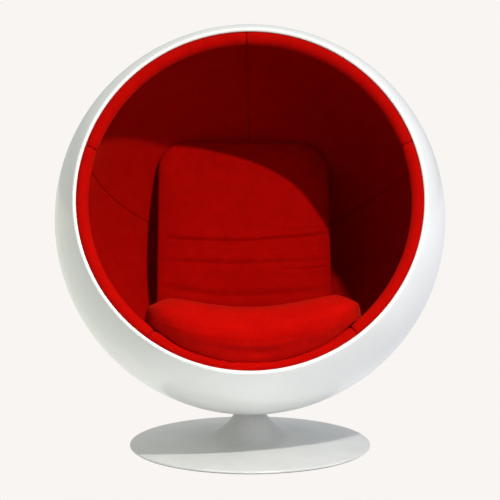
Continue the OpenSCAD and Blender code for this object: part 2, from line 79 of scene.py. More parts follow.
# The padded ring: its cover reaches further in, and is rounder, than the CAD solid's edge
RING_SETBACK = 2.4 * MM
RING_FACE = LIP_AHEAD + LIP_R - RING_SETBACK
RING_SOLID_CLEAR_R = 436 * MM
RING_SOLID_EDGE_R = 15 * MM
RING_CLEAR_R = 432.5 * MM
RING_EDGE_R = 22 * MM
RING_EDGE = np.array([RING_CLEAR_R + RING_EDGE_R, RING_FACE - RING_EDGE_R])
RING_SEAM_ANGLE = LIP_ANGLE + math.radians(5.4)
GORES = ["upper_right", "side_right", "bottom", "side_left", "upper_left"]
GORE_STEP = TAU / len(GORES)
SEAM_TURN = math.radians(1.3)
BATTEN_T = 8 * MM
BATTEN_W = 24 * MM
BATTEN_FROM = LIP_ANGLE + math.radians(1)

# Cloth as it is drawn: a little thinner than the fabric, so that it stays clear of the foam under it
CLOTH = 0.85 * FABRIC

# Seams of the ring's cover: the stitched groove, the hollow round it, and the slackness between seams,
# with that many ripples to the round
RING_GROOVE_DEPTH = 5 * MM
RING_GROOVE_W = 2.4 * MM
RING_HOLLOW_DEPTH = 2.2 * MM
RING_HOLLOW_W = 15 * MM
RING_SLACK = 0.35 * MM
RING_RIPPLE = 0.2 * MM
RING_RIPPLES = 61

# Seams of the lining: the stitched groove, the fullness between seams, and the puckers beside them, whose
# sine runs that many times as fast as the polar angle
SEAM_DEPTH = 4.2 * MM
SEAM_W = 2.3 * MM
LINING_FULLNESS = 1.9 * MM
LINING_FULL_FROM = 14 * MM
PUCKER_DEPTH = 0.25 * MM
PUCKER_AWAY = 7 * MM
PUCKER_W = 6 * MM
PUCKERS = 95

# Directions of the mouth: ahead is out of the ball, up is across it
AHEAD = np.array([0, -math.cos(MOUTH_TILT), math.sin(MOUTH_TILT)])
UP = np.array([0, math.sin(MOUTH_TILT), math.cos(MOUTH_TILT)])
RIGHT = np.array([1.0, 0, 0])

# How far from the ball's centre a cushion may reach
CUSHION_R = LINING_R - 2.5 * MM

# Seat cushion, as in the CAD model
SEAT_HALF_W = 298 * MM
SEAT_HALF_D = 308 * MM
SEAT_SHIFT = 8 * MM
SEAT_OVERHANG = 16 * MM
SEAT_FRONT = (AHEAD[1] * (RING_FACE - RING_SOLID_EDGE_R) - math.sin(MOUTH_TILT) * RING_SOLID_CLEAR_R
              - SEAT_OVERHANG)
SEAT_Y = SEAT_FRONT + SEAT_HALF_D
SEAT_REAR = SEAT_Y + SEAT_HALF_D
SEAT_CREST_Y = SEAT_FRONT + 48 * MM
SEAT_CREST_Z = CENTRE[2] - 201 * MM
SEAT_FALL = math.tan(math.radians(14))
SEAT_END_RISE = 60 * MM
SEAT_TILT = 12 * MM
SEAT_CROWN = 10 * MM
SEAT_SEAM_DROP = 89 * MM
SEAT_SEAM_RISE = 14 * MM
SEAT_OUTLINE_POWER = 3.0

# The stuffed seat: its front roll is fuller than the CAD solid's
SEAT_ROLL_AHEAD = 38 * MM
SEAT_ROLL_POWER = 4.0
SEAT_ROLL_RISE = 2 * MM
SEAT_LIFT = 44 * MM
SEAT_INSET = 3 * MM
SEAT_FRONT_SWELL = 2.9
SEAT_END_SWELL = 3.0
SEAT_UNDER_SWELL = 6.0

# Back cushion, as in the CAD model
BACK_TOP_W = 512 * MM
BACK_FOOT_W = 528 * MM
BACK_LEN = 604 * MM
BACK_CORNER_R = 96 * MM
BACK_HALF_T = 44 * MM
BACK_CROWN = 10 * MM
BACK_FULLNESS = 30 * MM
BACK_RISE = 197 * MM
BACK_SHIFT = 16 * MM
BACK_WALL_GAP = 30 * MM
BACK_FOOT_OUT = 13 * MM
BACK_EDGE_ROOM = 4 * MM
BACK_TOP_Y = math.sqrt((LINING_R - BACK_WALL_GAP) ** 2 - BACK_RISE ** 2)
BACK_LEAN = math.asin((BACK_TOP_Y - SEAT_REAR - BACK_FOOT_OUT) / BACK_LEN)
BACK_UP = np.array([0, math.sin(BACK_LEAN), math.cos(BACK_LEAN)])
BACK_FACE = np.array([0, -math.cos(BACK_LEAN), math.sin(BACK_LEAN)])
BACK_MID = np.array([-BACK_SHIFT, BACK_TOP_Y, CENTRE[2] + BACK_RISE]) - BACK_LEN / 2 * BACK_UP

# The stuffed back cushion: its left side is fuller, and stands further ahead, than the CAD solid's
BACK_LEFT_FULL = 9 * MM
BACK_LEFT_AHEAD = 30 * MM
BACK_SWELL = 2.6

# Stuffing: size of the mesh that is puffed, and the simulation's frames and cloth
CUSHION_GRAIN = 6 * MM
PUFF_FRAMES = 20
PUFF_CLOTH = {"quality": 5, "mass": 0.3, "tension_stiffness": 15, "compression_stiffness": 15,
              "bending_stiffness": 0.6, "vertex_group_mass": "seam", "use_pressure": True,
              "uniform_pressure_force": 4}

# Room that the seat keeps to the padded ring, and the back cushion to the seat's top, taken as this full
RING_ROOM = 2.5 * MM
SEAT_ROOM = 1 * MM
SEAT_REST_SWELL = 3.2

# Sewn seam of a cushion: its section's corners, across and above it, and how far apart its puckers lie
SEWN_ACROSS = np.array([-3.4, -2.2, -1.1, -0.3, 0.3, 1.1, 2.2, 3.4, 2.0, -2.0]) * MM
SEWN_ABOVE = np.array([-0.5, 0.4, 0.8, -0.2, -0.2, 0.8, 0.4, -0.5, -1.0, -1.0]) * MM
SEWN_PUCKER = 7 * MM
SEWN_STEP = 2.2 * MM

# Base, as in the CAD model
BASE_R = 345 * MM
BASE_EDGE_R = 3 * MM
NECK_R = 41.6 * MM
FLARE_R = 121 * MM
FLARE_H = 150 * MM
COVER_T = 4 * MM
PAD_T = 2 * MM
PLATE_T = 4 * MM
PLATE_R = BASE_R - 16.7 * MM
PLATE_CLEAR = 0.3 * MM
RIM_LAND = 10 * MM
RIM_STEP = 0.4 * MM
NECK_BEVEL_TURN = 0.008


# Colours and shader nodes

def srgb(code):
    """Linear colour of an sRGB hex value."""
    parts = [int(code[i:i + 2], 16) / 255 for i in (1, 3, 5)]
    return (*[p / 12.92 if p <= 0.04045 else ((p + 0.055) / 1.055) ** 2.4 for p in parts], 1)


def feed(tree, node, inputs):
    """Fills a node's inputs: a socket is linked, and a value is set on the input itself."""
    for key, value in inputs.items():
        if isinstance(value, bpy.types.NodeSocket):
            tree.links.new(value, node.inputs[key])
        else:
            node.inputs[key].default_value = value


def add(tree, kind, inputs=None, **settings):
    """Adds a shader node, with its settings, and with values or links for its inputs."""
    node = tree.nodes.new("ShaderNode" + kind)
    for key, value in settings.items():
        setattr(node, key, value)
    feed(tree, node, inputs or {})
    return node


def new_material(name, **principled):
    """Material with one Principled shader; returns it, its tree and the shader."""
    material = bpy.data.materials.new(name)
    material.use_nodes = True
    tree = material.node_tree
    shader = tree.nodes["Principled BSDF"]
    feed(tree, shader, {key.replace("_", " "): value for key, value in principled.items()})
    return material, tree, shader


def two_tones(tree, pattern, low, high, first, second):
    """Colour that goes from a first to a second sRGB hex value as a pattern goes from low to high."""
    share = add(tree, "MapRange", {"Value": pattern, "From Min": low, "From Max": high})
    return add(tree, "Mix", {0: share.outputs["Result"], 6: srgb(first), 7: srgb(second)},
               data_type="RGBA").outputs[2]


# Materials

# Distance between the cloth's threads: twice the real one, so that the weave shows
THREAD = 1.6 * MM


def coat(tree, shader, first, second, patch, ripple, depth):
    """Finish of a coat: two near tones in patches, and a ripple. Their sizes and its depth are given."""
    place = add(tree, "TexCoord").outputs["Object"]
    patches = add(tree, "TexNoise", {"Vector": place, "Scale": 1 / patch}).outputs["Fac"]
    waves = add(tree, "TexNoise", {"Vector": place, "Scale": 1 / ripple, "Detail": 1}).outputs["Fac"]
    relief = add(tree, "Bump", {"Height": waves, "Distance": depth}).outputs["Normal"]
    feed(tree, shader, {"Base Color": two_tones(tree, patches, 0.35, 0.65, first, second),
                        "Normal": relief})


def gelcoat(name, first, second):
    """Polyester gelcoat from a polished mould: a clear gloss over white, with a faint long ripple."""
    material, tree, shader = new_material(name, Roughness=0.24, IOR=1.5, Coat_Weight=0.25,
                                          Coat_Roughness=0.12)
    coat(tree, shader, first, second, 160 * MM, 28 * MM, 0.12 * MM)
    return material


def lacquer(name, first, second):
    """Sprayed lacquer on metal: a semi gloss with the fine orange peel of the spray."""
    material, tree, shader = new_material(name, Roughness=0.3, IOR=1.5)
    coat(tree, shader, first, second, 90 * MM, 3 * MM, 0.005 * MM)
    return material


def weave(tree, place):
    """Plain weave of two crossing sets of threads: the higher of two rows of ridges, one each way. A wave
    node's ridges lie 0.314 / scale apart."""
    rows = [add(tree, "TexWave", {"Vector": place, "Scale": 0.314 / THREAD, "Distortion": 0.6,
                                  "Detail": 1.0, "Detail Scale": 2.0}, bands_direction=way)
            for way in "XY"]
    return add(tree, "Math", {0: rows[0].outputs["Fac"], 1: rows[1].outputs["Fac"]},
               operation="MAXIMUM").outputs["Value"]


def wool(name, light, dark, turn=None):
    """Felted wool cloth, piece dyed red: matte, with short fuzz that lifts the edges, and a soft slub. The
    threads follow the piece's UV map, which is in metres, or with a turn the Object coordinates."""
    material, tree, shader = new_material(name, Roughness=0.88, IOR=1.45, Sheen_Weight=0.22,
                                          Sheen_Roughness=0.4, Specular_IOR_Level=0.04,
                                          Sheen_Tint=srgb("#FF4A2C"))
    solid = add(tree, "TexCoord").outputs["Object"]
    if turn is None:
        threads = add(tree, "UVMap", uv_map="Cloth").outputs["UV"]
    else:
        threads = add(tree, "Mapping", {"Vector": solid, "Rotation": turn}).outputs["Vector"]
    slub = add(tree, "Mapping", {"Vector": threads, "Scale": (1, 7, 1)}).outputs["Vector"]
    patches, flecks, fuzz = [
        add(tree, "TexNoise", {"Vector": place, "Scale": 1 / size, "Detail": detail,
                               "Roughness": rough}).outputs["Fac"]
        for place, size, detail, rough in [(solid, 45 * MM, 3, 0.6), (slub, 9 * MM, 3, 0.65),
                                           (solid, 2.2 * MM, 4, 0.7)]]
    both = add(tree, "Math", {0: patches, 1: flecks}, operation="ADD").outputs["Value"]
    half = add(tree, "Math", {0: both, 1: 0.5}, operation="MULTIPLY").outputs["Value"]
    varied = add(tree, "MapRange", {"Value": flecks, "From Min": 0.3, "From Max": 0.7,
                                    "To Min": 0.82, "To Max": 0.94}).outputs["Result"]
    cloth = add(tree, "Bump", {"Height": weave(tree, threads), "Distance": 0.25 * MM}).outputs["Normal"]
    relief = add(tree, "Bump", {"Height": fuzz, "Distance": 0.35 * MM, "Normal": cloth})
    feed(tree, shader, {"Base Color": two_tones(tree, half, 0.36, 0.64, dark, light),
                        "Roughness": varied, "Normal": relief.outputs["Normal"]})
    return material


def foam(name, shaded_pore, wall):
    """Flexible polyurethane foam: matte, with open cells about 2 mm wide; painted shade darkens each
    cell's hollow.
    """
    material, tree, shader = new_material(name, Roughness=0.95, Specular_IOR_Level=0.2)
    place = add(tree, "TexCoord").outputs["Object"]
    cells = add(tree, "TexVoronoi", {"Vector": place, "Scale": 1 / (2 * MM)}).outputs["Distance"]
    relief = add(tree, "Bump", {"Height": cells, "Distance": 0.6 * MM}).outputs["Normal"]
    # Painted shade: the colour goes from a darker tone in each cell's hollow to the foam's own cream at
    # the cell walls
    feed(tree, shader, {"Base Color": two_tones(tree, cells, 0.1, 0.5, shaded_pore, wall), "Normal": relief})
    return material


def plain(name, first, second, grain, depth, stretch=None, vary=0.15, **principled):
    """Even material with a grain of one size: two tones, a roughness that varies by a share of itself, and
    a bump as deep as said. A stretch draws the grain out along one direction."""
    material, tree, shader = new_material(name, **principled)
    place = add(tree, "TexCoord").outputs["Object"]
    if stretch is not None:
        place = add(tree, "Mapping", {"Vector": place, "Scale": stretch}).outputs["Vector"]
    tone = add(tree, "TexNoise", {"Vector": place, "Scale": 1 / grain, "Detail": 4,
                                  "Roughness": 0.6}).outputs["Fac"]
    rough = shader.inputs["Roughness"].default_value
    varied = add(tree, "MapRange", {"Value": tone, "From Min": 0.3, "From Max": 0.7,
                                    "To Min": rough * (1 - vary), "To Max": min(1, rough * (1 + vary))})
    relief = add(tree, "Bump", {"Height": tone, "Distance": depth}).outputs["Normal"]
    feed(tree, shader, {"Base Color": two_tones(tree, tone, 0.35, 0.65, first, second),
                        "Roughness": varied.outputs["Result"], "Normal": relief})
    return material


def grained(name, first, second, stretch, **principled):
    """Material with a long grain, such as brushed steel or ply."""
    return plain(name, first, second, 1.2 * MM, 0.03 * MM, stretch, 0.2, **principled)


MATERIALS = {
    "white_gelcoat": gelcoat("white gelcoat", "#F1F3F0", "#F6F7F5"),
    "white_lacquer": lacquer("white lacquer", "#CBCCCA", "#D1D2D0"),
    "red_wool": wool("red wool", "#BC0601", "#AC0300"),
    "seat_wool": wool("red wool of the seat", "#BC0601", "#AC0300", (0, 0, 0)),
    "back_wool": wool("red wool of the back", "#BC0601", "#AC0300", (math.pi / 2 - BACK_LEAN, 0, 0)),
    "zip_tape": plain("dark red zip tape", "#5A0A08", "#6E0E0A", 2 * MM, 0.15 * MM, Roughness=0.7),
    # The foam's darker tone is painted shade in the cells' hollows; the lighter one is its own cream
    "foam": foam("cream upholstery foam", "#8F7F55", "#D9C993"),
    "plywood": grained("birch ply", "#B58F5E", "#CDAA78", (1, 1, 12), Roughness=0.6),
    "laminate": plain("glass mat laminate", "#C9C1A0", "#B7AD88", 6 * MM, 0.2 * MM, Roughness=0.45),
    "black_rubber": plain("black rubber", "#141414", "#1E1E1E", 1 * MM, 0.05 * MM, Roughness=0.7),
    "zinc_steel": grained("zinc plated steel", "#9C9EA2", "#B4B6BA", (1, 10, 1), Metallic=1.0,
                          Roughness=0.38),
    "dark_steel": plain("black oxide steel", "#26282B", "#34373A", 4 * MM, 0.02 * MM, Metallic=1.0,
                        Roughness=0.42),
    "polished_steel": plain("polished bearing steel", "#C6C7CA", "#D2D3D6", 5 * MM, 0.002 * MM,
                            Metallic=1.0, Roughness=0.12),
    "cast_ballast": plain("cast iron", "#2B2D2F", "#3A3D40", 3 * MM, 0.3 * MM, Metallic=1.0,
                          Roughness=0.65),
    "ivory_nylon": plain("turned nylon", "#DDD6BE", "#E8E2CE", 2 * MM, 0.02 * MM, Roughness=0.45),
    "brass": grained("turned brass", "#B08A3E", "#C7A255", (1, 8, 1), Metallic=1.0, Roughness=0.3),
}


# Meshes

def bare_mesh(name, points, faces):
    """Mesh from an array of points and one of faces."""
    mesh = bpy.data.meshes.new(name)
    mesh.from_pydata(points.reshape(-1, 3).tolist(), [], faces.tolist())
    return mesh


def close_up(mesh, near=1e-6):
    """Merges points of a mesh that are as near as said, turns its faces outwards and smooths them."""
    shape = bmesh.new()
    shape.from_mesh(mesh)
    bmesh.ops.remove_doubles(shape, verts=shape.verts, dist=near)
    bmesh.ops.recalc_face_normals(shape, faces=shape.faces)
    shape.to_mesh(mesh)
    shape.free()
    mesh.shade_smooth()
    return mesh


def put_mesh(name, points, faces, material, body="ball"):
    """Piece from points and faces: closed up, smooth, riding on a body."""
    return put_piece(name, close_up(bare_mesh(name, points, faces)), material, body)


def put_piece(name, mesh, material, body="ball"):
    """Object for a finished mesh, with its material and body."""
    piece = bpy.data.objects.new(name, mesh)
    bpy.context.scene.collection.objects.link(piece)
    mesh.materials.clear()
    mesh.materials.append(MATERIALS[material])
    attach(piece, body)
    return piece


def grid_faces(rows, columns, wrap_rows, wrap_columns, start=0, flip=False):
    """Four-cornered faces of a grid whose points are numbered row by row."""
    i = np.arange(rows if wrap_rows else rows - 1)[:, None]
    j = np.arange(columns if wrap_columns else columns - 1)[None, :]
    down, across = (i + 1) % rows, (j + 1) % columns
    corners = [i * columns + j, down * columns + j, down * columns + across, i * columns + across]
    faces = np.stack(np.broadcast_arrays(*corners), -1).reshape(-1, 4) + start
    return faces[:, ::-1] if flip else faces


def mouth_point(out, ahead, clock):
    """Point in the mouth's frame: centre + ahead x AHEAD + out x (sin clock x RIGHT + cos clock x UP)."""
    out, ahead, clock = np.broadcast_arrays(out, ahead, clock)
    return (CENTRE + ahead[..., None] * AHEAD + (out * np.sin(clock))[..., None] * RIGHT
            + (out * np.cos(clock))[..., None] * UP)


def upright_point(out, height, turn):
    """Point about the swivel axis: (out x cos turn, out x sin turn, height)."""
    out, height, turn = np.broadcast_arrays(out, height, turn)
    return np.stack([out * np.cos(turn), out * np.sin(turn), height], -1)


def arc(middle, radius, start, end, count):
    """Points round a middle: middle + radius x (cos angle, sin angle)."""
    angle = np.linspace(start, end, count)
    return np.asarray(middle) + radius * np.stack([np.cos(angle), np.sin(angle)], -1)


def turned(name, profile, around, point, material, body, wrap):
    """Profile of (out, along) pairs carried once round an axis; wrap joins its end to its start."""
    turn = np.linspace(0, TAU, around, endpoint=False)
    points = point(profile[:, :1], profile[:, 1:], turn[None, :])
    faces = grid_faces(len(profile), around, wrap, True)
    return put_mesh(name, points, faces, material, body)


def make_shell():
    """Ball shell: outer sphere from the rear pole to the lip, round the lip's bead, and back inside."""
    reach = math.acos((LIP_TRACK_R ** 2 + SHELL_IN_R ** 2 - LIP_R ** 2) / (2 * LIP_TRACK_R * SHELL_IN_R))
    inward = math.pi / 2 - LIP_ANGLE
    outer = arc((0, 0), BALL_R, -math.pi / 2, inward, 130)
    bead = arc(LIP_TRACK_R * np.array([math.sin(LIP_ANGLE), math.cos(LIP_ANGLE)]), LIP_R, inward,
               inward + BEAD_ROUND, 22)[1:-1]
    inner = arc((0, 0), SHELL_IN_R, inward - reach, -math.pi / 2, 60)
    profile = np.concatenate([outer, bead, inner])
    profile[[0, -1], 0] = 0
    return turned("ball_shell", profile, 256, mouth_point, "white_gelcoat", "ball",
                  wrap=False)


def make_base():
    """Trumpet cover: the flare is an arc from the neck to where it touches the straight slope of the
    disc; then come the round edge, the rebate for the bottom plate, the same flare inside one wall
    thickness further in, and a small bevel at the neck."""
    top = float(shell_low.z)
    edge_top = PAD_T + 2 * BASE_EDGE_R
    rim = BASE_R - BASE_EDGE_R
    axis = np.array([NECK_R + math.sqrt(FLARE_R ** 2 - (FLARE_H - top) ** 2), FLARE_H])
    away = math.hypot(rim - axis[0], FLARE_H - edge_top)
    slope = math.atan2(FLARE_H - edge_top, rim - axis[0]) - math.asin(FLARE_R / away)
    neck_turn = math.pi + math.asin((FLARE_H - top) / FLARE_R)
    foot_turn = 1.5 * math.pi - slope
    flare = arc(axis, FLARE_R, neck_turn + NECK_BEVEL_TURN, foot_turn, 48)
    edge = arc((rim, PAD_T + BASE_EDGE_R), BASE_EDGE_R, math.pi / 2 - slope, -math.pi / 2, 10)
    disc = flare[-1] + np.linspace(0, 1, 12)[1:-1, None] * (edge[0] - flare[-1])
    inner_turn = math.pi + math.asin((FLARE_H - top) / (FLARE_R + COVER_T))
    inside = arc(axis, FLARE_R + COVER_T, foot_turn, inner_turn, 30)
    plate_top = PAD_T + PLATE_T
    land = PLATE_R - RIM_LAND
    rebate = PLATE_R + PLATE_CLEAR
    under = np.array([[rebate, PAD_T], [rebate, plate_top], [land, plate_top],
                      [land, plate_top + RIM_STEP]])
    bevel = np.array([[inside[-1][0], top], [NECK_R - 0.6 * MM, top], [NECK_R - 0.1 * MM, top - 0.4 * MM]])
    profile = np.concatenate([flare, disc, edge, under, inside, bevel])
    return turned("trumpet_base", profile, 256, upright_point, "white_lacquer", "base",
                  wrap=True)


def skin(name, face, back, uv, material, slot):
    """Closed cloth between a face grid and a back grid: both grids, and a strip round their border."""
    rows, columns = face.shape[:2]
    count = rows * columns
    number = np.arange(count).reshape(rows, columns)
    border = np.concatenate([number[0, :-1], number[:-1, -1], number[-1, :0:-1], number[:0:-1, 0]])
    following = np.roll(border, -1)
    strip = np.stack([border, following, following + count, border + count], -1)
    faces = np.concatenate([grid_faces(rows, columns, False, False),
                            grid_faces(rows, columns, False, False, count, True), strip])
    mesh = bare_mesh(name, np.stack([face, back]), faces)
    layer = mesh.uv_layers.new(name="Cloth")
    corner = np.zeros(len(mesh.loops), np.int32)
    mesh.loops.foreach_get("vertex_index", corner)
    layer.data.foreach_set("uv", uv.reshape(-1, 2)[corner % count].astype(np.float32).ravel())
    return put_piece(name, close_up(mesh), material)


def seam_clock(i):
    """Clock angle of the seam where a gore starts: they are evenly spaced, a little left of the top."""
    return i * GORE_STEP - SEAM_TURN


def bell(distance, width):
    """Bell curve of a distance: exp(-(distance / width)^2)."""
    return np.exp(-(distance / width) ** 2)


def waver(angle, seed):
    """Slow unevenness of hand work, about -1 to 1: four sines round the mouth, with seeded phases."""
    phase = np.random.default_rng(seed).uniform(0, TAU, 4)
    return sum(np.sin((k + 3) * angle + phase[k]) for k in range(4)) / 2.6


def crowded(start, end, count):
    """Values from a start to an end that lie closer together near both, where the seams are."""
    even = np.linspace(0, 1, count)
    return start + (end - start) * (0.5 - 0.5 * np.cos(math.pi * even))


# How far each seam of the ring was sewn from its even place, clockwise
RING_DRIFT = np.radians([-0.1, -0.3, 0, 0.6, 1.3])


def ring_seam(i):
    """Clock angle of the ring's seam where a length of its cover starts."""
    return seam_clock(i) + RING_DRIFT[i % len(GORES)]


def ring_profile():
    """Profile of the padded ring from the groove, where it hugs the lip's bead, over its crest and round
    inner edge, to the seam on the lining, as (out, ahead) pairs, and the directions into the padding.
    The crest's outer side is an arc that just touches the bead."""
    bead = np.array([MOUTH_R, LIP_AHEAD])
    hug = LIP_R + 0.25 * MM
    rise = RING_FACE - LIP_AHEAD
    outer_r = ((MOUTH_R - RING_EDGE[0]) ** 2 + rise ** 2 - hug ** 2) / (2 * (hug + rise))
    middle = np.array([RING_EDGE[0], RING_FACE - outer_r])
    touch = math.atan2(middle[1] - bead[1], middle[0] - bead[0])
    seam = LINING_R * np.array([math.sin(RING_SEAM_ANGLE), math.cos(RING_SEAM_ANGLE)])
    gap = seam - RING_EDGE
    edge_end = math.atan2(gap[1], gap[0]) - math.acos(RING_EDGE_R / np.linalg.norm(gap)) + TAU
    groove = arc(bead, hug, touch + 1.0, touch, 8)
    outer = arc(middle, outer_r, touch + math.pi, math.pi / 2, 12)[1:]
    edge = arc(RING_EDGE, RING_EDGE_R, math.pi / 2, edge_end, 26)[1:]
    side = edge[-1] + np.linspace(0, 1, 14)[1:, None] * (seam - edge[-1])
    profile = np.concatenate([groove, outer, edge, side])
    step = np.gradient(profile, axis=0)
    inward = np.stack([-step[:, 1], step[:, 0]], -1)
    return profile, inward / np.linalg.norm(inward, axis=1)[:, None]


def ring_sag(clock, count):
    """How far the ring's cover is drawn into the padding, over profile and clock: a narrow and a wide bell
    curve at each seam, a slow waver and ripples. It shows most in the middle of the profile, by the root
    of a sine, and fades to nothing at the lip's groove and at the rear seam."""
    away = np.min([np.abs((clock - ring_seam(i) + math.pi) % TAU - math.pi) for i in range(len(GORES))],
                  axis=0) * MOUTH_R
    pinch = RING_GROOVE_DEPTH * bell(away, RING_GROOVE_W) + RING_HOLLOW_DEPTH * bell(away, RING_HOLLOW_W)
    ripple = np.sin(RING_RIPPLES * clock + 4 * waver(clock, 8))
    loose = RING_SLACK * (1 + waver(clock, 5)) + RING_RIPPLE * (1 + ripple)
    along = np.linspace(0, 1, count)[:, None]
    show = np.sqrt(np.sin(math.pi * np.clip(along * 1.1, 0, 1)))
    return (pinch + loose)[None, :] * show


def make_ring_cover(i):
    """One length of the padded ring's cover: the profile carried from seam to seam and drawn in by the
    ring's sag."""
    profile, inward = ring_profile()
    gap = 0.08 * MM / MOUTH_R
    clock = crowded(ring_seam(i) + gap, ring_seam(i + 1) - gap, 161)
    sag = ring_sag(clock, len(profile))
    layers = [mouth_point(profile[:, :1] + inward[:, :1] * (sag + deep),
                          profile[:, 1:] + inward[:, 1:] * (sag + deep), clock[None, :])
              for deep in (0, CLOTH)]
    run = np.concatenate([[0], np.cumsum(np.linalg.norm(np.diff(profile, axis=0), axis=1))])
    uv = np.stack(np.broadcast_arrays(clock[None, :] * RING_CLEAR_R, run[:, None]), -1)
    piece = skin("ring_cover_" + GORES[i], *layers, uv, "red_wool", "red_wool")
    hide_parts("ring_" + GORES[i])


def make_ring_padding():
    """Foam of the padded ring: the cover's profile and sag, one cloth further in, and behind it the rear
    seam's cone, the inside of the shell and a rebate for the batten."""
    profile, inward = ring_profile()
    count = len(profile)
    clock = np.concatenate([crowded(ring_seam(i), ring_seam(i + 1), 121)[:-1]
                            for i in range(len(GORES))])
    deep = ring_sag(clock, count) + FABRIC + 0.3 * MM
    floor_r = FOAM_BACK_R - BATTEN_T - 0.4 * MM
    spare = 0.002
    first = BATTEN_FROM - spare
    last = first + BATTEN_W / SHELL_IN_R + 2 * spare
    rear = [(LINING_BACK_R, RING_SEAM_ANGLE), (FOAM_BACK_R, RING_SEAM_ANGLE)]
    rear += [(FOAM_BACK_R, a) for a in np.linspace(RING_SEAM_ANGLE, last, 6)[1:]]
    rear += [(floor_r, a) for a in np.linspace(last, first, 6)]
    rear += [(FOAM_BACK_R, first), (FOAM_BACK_R, LIP_ANGLE + math.radians(0.85))]
    rear = np.array([(r * math.sin(a), r * math.cos(a)) for r, a in rear])
    turn = np.ones(len(clock))
    out = np.concatenate([profile[:, :1] + inward[:, :1] * deep, rear[:, :1] * turn])
    ahead = np.concatenate([profile[:, 1:] + inward[:, 1:] * deep, rear[:, 1:] * turn])
    points = mouth_point(out, ahead, clock[None, :])
    faces = grid_faces(len(out), len(clock), True, True)
    piece = put_mesh("ring_padding", points, faces, "foam")
    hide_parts("ring_foam")


# How far the lining's seams were sewn from their even places, clockwise in degrees: four of them by one
# amount that fades at the pole, the upper left one by bell curves of an amount, a place and a width
LINING_DRIFT = [0.5, -1.1, 0.0, 0.0]
UPPER_LEFT_DRIFT = [(5.2, 92, 24), (-2.3, 143, 15)]


def lining_seam(i, polar):
    """Clock angle of a lining seam over the polar angle: even, apart from the drift of the sewing. The
    upper left one starts high at the ring, crosses its even place and comes back to it at the pole."""
    deg = np.degrees(polar)
    seam = i % len(GORES)
    if seam < len(LINING_DRIFT):
        drift = LINING_DRIFT[seam] * np.sin(np.clip((180 - deg) / 60, 0, 1) * math.pi / 2)
    else:
        drift = sum(amount * bell(deg - at, width) for amount, at, width in UPPER_LEFT_DRIFT)
    return seam_clock(i) + np.radians(drift)


def lining_grid(i):
    """Grid of one gore, as polar angles, clock angles, their two seams, and the radius of the cloth's
    face: a little full between the seams, drawn into the foam at each in a deep narrow groove, both as
    bell curves, with small puckers beside it, as sines."""
    polar = np.linspace(RING_SEAM_ANGLE, math.pi, 121)[:, None]
    start, end = lining_seam(i, polar), lining_seam(i + 1, polar)
    clock = crowded(start, end, 161)
    away = np.minimum(clock - start, end - clock) * LINING_R * np.sin(polar)
    full = LINING_FULLNESS * (1 - bell(away, LINING_FULL_FROM))
    groove = SEAM_DEPTH * bell(away, SEAM_W)
    wave = np.sin(polar * PUCKERS + 3 * np.sin(polar * 17 + i))
    pucker = PUCKER_DEPTH * wave * bell(away - PUCKER_AWAY, PUCKER_W)
    return polar, clock, start, end, LINING_R - 0.5 * MM - full + groove + pucker


def make_lining(i):
    """One gore of the wall lining and the foam under it: parts of a sphere from the ring to the rear pole,
    both with the same relief."""
    polar, clock, start, end, radius = lining_grid(i)
    under_r = radius + CLOTH
    layers = [mouth_point(r * np.sin(polar), r * np.cos(polar), clock)
              for r in (radius, under_r, under_r + 0.15 * MM, FOAM_BACK_R + 0 * radius)]
    uv = np.stack(np.broadcast_arrays((clock - (start + end) / 2) * np.sin(polar) * LINING_R,
                                      polar * LINING_R), -1)
    piece = skin("lining_" + GORES[i] + "_gore", *layers[:2], uv, "red_wool", "red_wool")
    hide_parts("lining_" + GORES[i])
    padding = skin("wall_foam_" + GORES[i], *layers[2:], uv, "foam", "foam")
    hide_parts("foam_" + GORES[i])


# Cushions

def power_swell(share, power):
    """Fullness from the middle (0) to the seam (1): (1 - share^power)^(1 / power)."""
    return np.maximum(0, 1 - share ** power) ** (1 / power)


def signed_power(value, power):
    """Power of a value that keeps its sign."""
    return np.sign(value) * np.abs(value) ** power


def bowl_height(x, y):
    """Height of the lining under a place: centre - root(radius^2 - x^2 - y^2)."""
    return CENTRE[2] - np.sqrt(np.maximum(1e-9, CUSHION_R ** 2 - x ** 2 - y ** 2))


def seat_plain(x, y):
    """Plain top of the seat: it falls to the rear, and rises towards the ends, more at the right."""
    side = (x - SEAT_SHIFT) / SEAT_HALF_W
    return (SEAT_CREST_Z - (y - SEAT_CREST_Y) * SEAT_FALL + SEAT_END_RISE * side ** 2
            + SEAT_TILT / 2 * side)


def seat_seam(x, y):
    """Height of the seat's seam: a drop below the plain top, less at the ends, over the lining."""
    side = np.abs(x - SEAT_SHIFT) / SEAT_HALF_W
    return np.maximum(bowl_height(x, y) + FABRIC,
                      seat_plain(x, y) - SEAT_SEAM_DROP + SEAT_SEAM_RISE * side ** 3)


def seat_floor(x, y):
    """Height that the underside of the seat's plain sheets reaches: the bowl of the lining, carried on
    under the ring, and at the front corners at most a lift over the padded ring."""
    across = np.sqrt(np.maximum(0, RING_EDGE[0] ** 2 - x ** 2))
    ring = CENTRE[2] + AHEAD[2] * RING_FACE - UP[2] * across
    return np.minimum(bowl_height(x, y), ring + SEAT_LIFT)


